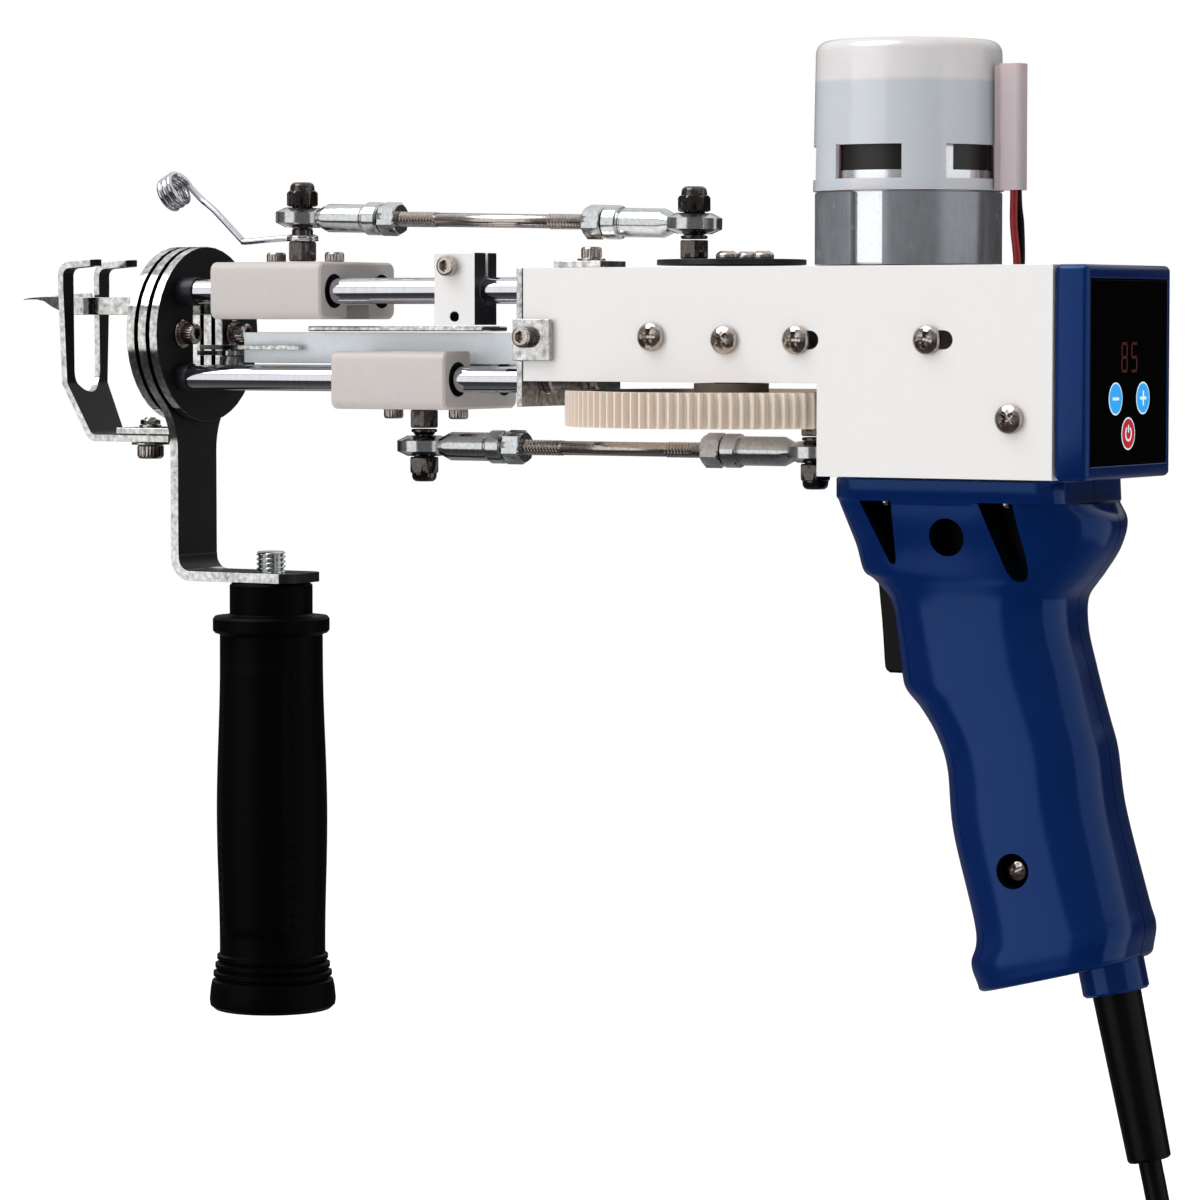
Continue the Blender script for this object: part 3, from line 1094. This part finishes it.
def make_rear_grip():
    """Pistol grip of two moulded shells, with the trigger's slot, pockets and screw recesses."""
    last = len(GRIP_SECTIONS) - 1
    hollow = [grip_section(0, GRIP_WALL, -GRIP_WALL)]
    for number in range(1, last):
        if GRIP_SECTIONS[number][0] <= -3 * GRIP_WALL:
            hollow.append(grip_section(number, GRIP_WALL))
    hollow.append(grip_section(last, GRIP_WALL, GRIP_WALL))
    slot = TRIGGER_HALF + GAP
    for name, side in (("grip_shell_near", -1), ("grip_shell_far", 1)):
        skin = loft([grip_section(number, 0) for number in range(last + 1)])
        shell = place(name, skin, "blue", (HAND_X, 0, GRIP_TOP_Z))
        fuse(shell, slanted(((COLLAR_OUTER, 0), (COLLAR_OUTER, GRIP_COLLAR_LENGTH)), 20))
        cut(shell, loft(hollow))
        bore = SLEEVE_RADIUS + GAP
        cut(shell, slanted(((bore, -OVERRUN), (bore, 2 * GRIP_COLLAR_LENGTH)), 20))
        cut(shell, block((TRIGGER_FRONT - 2 * OVERRUN, TRIGGER_REAR + OVERRUN), (-slot, slot),
                         (GRIP_TOP_Z + TRIGGER_BOTTOM - GAP, GRIP_TOP_Z + TRIGGER_TOP + GAP)))
        if side < 0:
            open_recesses(shell)
        away = (-GAP / 2, SIDE + OVERRUN) if side < 0 else (-SIDE - OVERRUN, GAP / 2)
        bottom = cord_axis(3 * GRIP_COLLAR_LENGTH)
        cut(shell, block((-SIDE, bottom[0] + SIDE), away, (bottom[2], OVERRUN + GRIP_TOP_Z)))
    sleeve = slanted(((SLEEVE_RADIUS - EDGE, EDGE), (SLEEVE_RADIUS, 2 * EDGE),
                      (SLEEVE_RADIUS, GRIP_COLLAR_LENGTH + EDGE),
                      (SLEEVE_END_RADIUS, SLEEVE_LENGTH - EDGE),
                      (SLEEVE_END_RADIUS - EDGE, SLEEVE_LENGTH), (CORD_RADIUS + GAP, SLEEVE_LENGTH),
                      (CORD_RADIUS + GAP, SLEEVE_LENGTH - SLEEVE_BORE_DEPTH),
                      (0, SLEEVE_LENGTH - SLEEVE_BORE_DEPTH)), 20)
    place("strain_relief", sleeve, "black", tuple(cord_axis(0)))


def make_trigger():
    """Trigger with its hollowed front, and the switch behind it."""
    high, low = GRIP_TOP_Z + TRIGGER_TOP, GRIP_TOP_Z + TRIGGER_BOTTOM
    outline = []
    for i in range(TRIGGER_POINTS):
        share = i / (TRIGGER_POINTS - 1)
        x = TRIGGER_FRONT + TRIGGER_HOLLOW * (math.sin(math.pi * share) + share)
        outline.append((x, high + (low - high) * share))
    outline += [(TRIGGER_REAR, low), (TRIGGER_REAR, high)]
    trigger = place("trigger", prism(outline, "y", -TRIGGER_HALF, TRIGGER_HALF), "black",
                    (TRIGGER_REAR, 0, (high + low) / 2))
    soften(trigger, EDGE, 2)
    start = TRIGGER_REAR + TRIGGER_TRAVEL + GAP
    switch = block((start, start + SWITCH_LENGTH), (-SWITCH_HALF, SWITCH_HALF), (low, high))
    place("trigger_switch", switch, "black")


def coil_points():
    """Two layers of loops: the upper spirals in, climbs down in a half turn and spirals out."""
    half = COIL_LOOP_POINTS // 2
    outer = COIL_INNER + COIL_STEP * COIL_TURNS
    points = []
    steps = COIL_TURNS * COIL_LOOP_POINTS
    total = 2 * steps + half
    for i in range(total + 1):
        angle = -math.pi / 2 - math.tau * i / COIL_LOOP_POINTS
        if i <= steps:
            radius, layer = outer - COIL_STEP * i / COIL_LOOP_POINTS, 0.0
        elif i <= steps + half:
            radius, layer = COIL_INNER, (i - steps) / half
        else:
            radius, layer = COIL_INNER + COIL_STEP * (i - steps - half) / COIL_LOOP_POINTS, 1.0
        points.append((COIL_X + radius * math.cos(angle), COIL_Y + radius * math.sin(angle),
                       GRIP_TOP_Z + COIL_Z - COIL_STEP * layer))
    return np.array(points)


def least_gap(points, radius, skip):
    """Least free space between parts of a tube that are more than skip points apart."""
    least = math.inf
    for i in range(len(points) - skip):
        rest = np.linalg.norm(points[i + skip:] - points[i], axis=1)
        least = min(least, float(rest.min()))
    return least - 2 * radius


def make_cord():
    """Mains cord: the run under the sleeve, the put-away coil, and the plug on its end."""
    coil = coil_points()
    inward = coil[1] - coil[0]
    inward /= np.linalg.norm(inward)
    tail = coil[-1] - coil[-2]
    tail /= np.linalg.norm(tail)
    lead_in = coil[0] - inward * 2 * CORD_RADIUS
    lead_out = coil[-1] + tail * 2 * CORD_RADIUS
    coil = np.vstack([lead_in, coil, lead_out])
    wire("cord_coil", coil, CORD_RADIUS, "black", 1)
    print("cord coil: least gap to itself", round(least_gap(coil, CORD_RADIUS, COIL_LOOP_POINTS // 3), 5))
    start = np.array(cord_axis(SLEEVE_LENGTH - SLEEVE_BORE_DEPTH + GAP))
    end = coil[0] - inward * GAP
    before = end - inward * 2 * CORD_RADIUS
    route = [start] + [(x, y, GRIP_TOP_Z + z) for x, y, z in CORD_ROUTE] + [before, end]
    run = smooth_route(route, 22)
    wire("cord_run", run, CORD_RADIUS, "black", 2)
    long = sum(np.linalg.norm(np.diff(part, axis=0), axis=1).sum() for part in (run, coil))
    print("cord length", round(float(long), 4))
    make_plug(lead_out + tail * GAP, tail)


def make_plug(neck, direction):
    """Moulded two-pin plug that lies in line with the coil's outer end."""
    def oval(distance, wide, high):
        return [(distance, wide * math.cos(math.tau * i / 24), high * math.sin(math.tau * i / 24))
                for i in range(24)]

    body = loft([oval(0, PLUG_NECK, PLUG_NECK), oval(PLUG_LENGTH / 3, PLUG_NECK, PLUG_NECK),
                 oval(PLUG_LENGTH / 2, PLUG_HALF_WIDTH * PLUG_SHOULDER_SHARE, PLUG_HALF_HEIGHT),
                 oval(PLUG_LENGTH * PLUG_FACE_SHARE, PLUG_HALF_WIDTH, PLUG_HALF_HEIGHT),
                 oval(PLUG_LENGTH, PLUG_HALF_WIDTH - EDGE, PLUG_HALF_HEIGHT - EDGE)])
    heading = math.atan2(direction[1], direction[0])
    plug = place("mains_plug", body, "black", tuple(neck), (0, 0, heading))
    tip = PLUG_LENGTH + PLUG_PIN_LENGTH
    profile = ((PLUG_PIN_RADIUS, PLUG_LENGTH - THIN_WALL), (PLUG_PIN_RADIUS, tip - EDGE),
               (PLUG_PIN_RADIUS - EDGE, tip))
    for side in (-1, 1):
        fuse(plug, turned(profile, "x", (0, side * PLUG_PIN_SPACING, 0), 14), True)


make_housing()
make_end_plate()
make_gears()
make_guides()
make_needle_drive()
make_yarn_guide()
make_cutter_drive()
make_front_plates()
make_front_grip()
make_motor()
make_control_head()
make_rear_grip()
make_trigger()
make_cord()
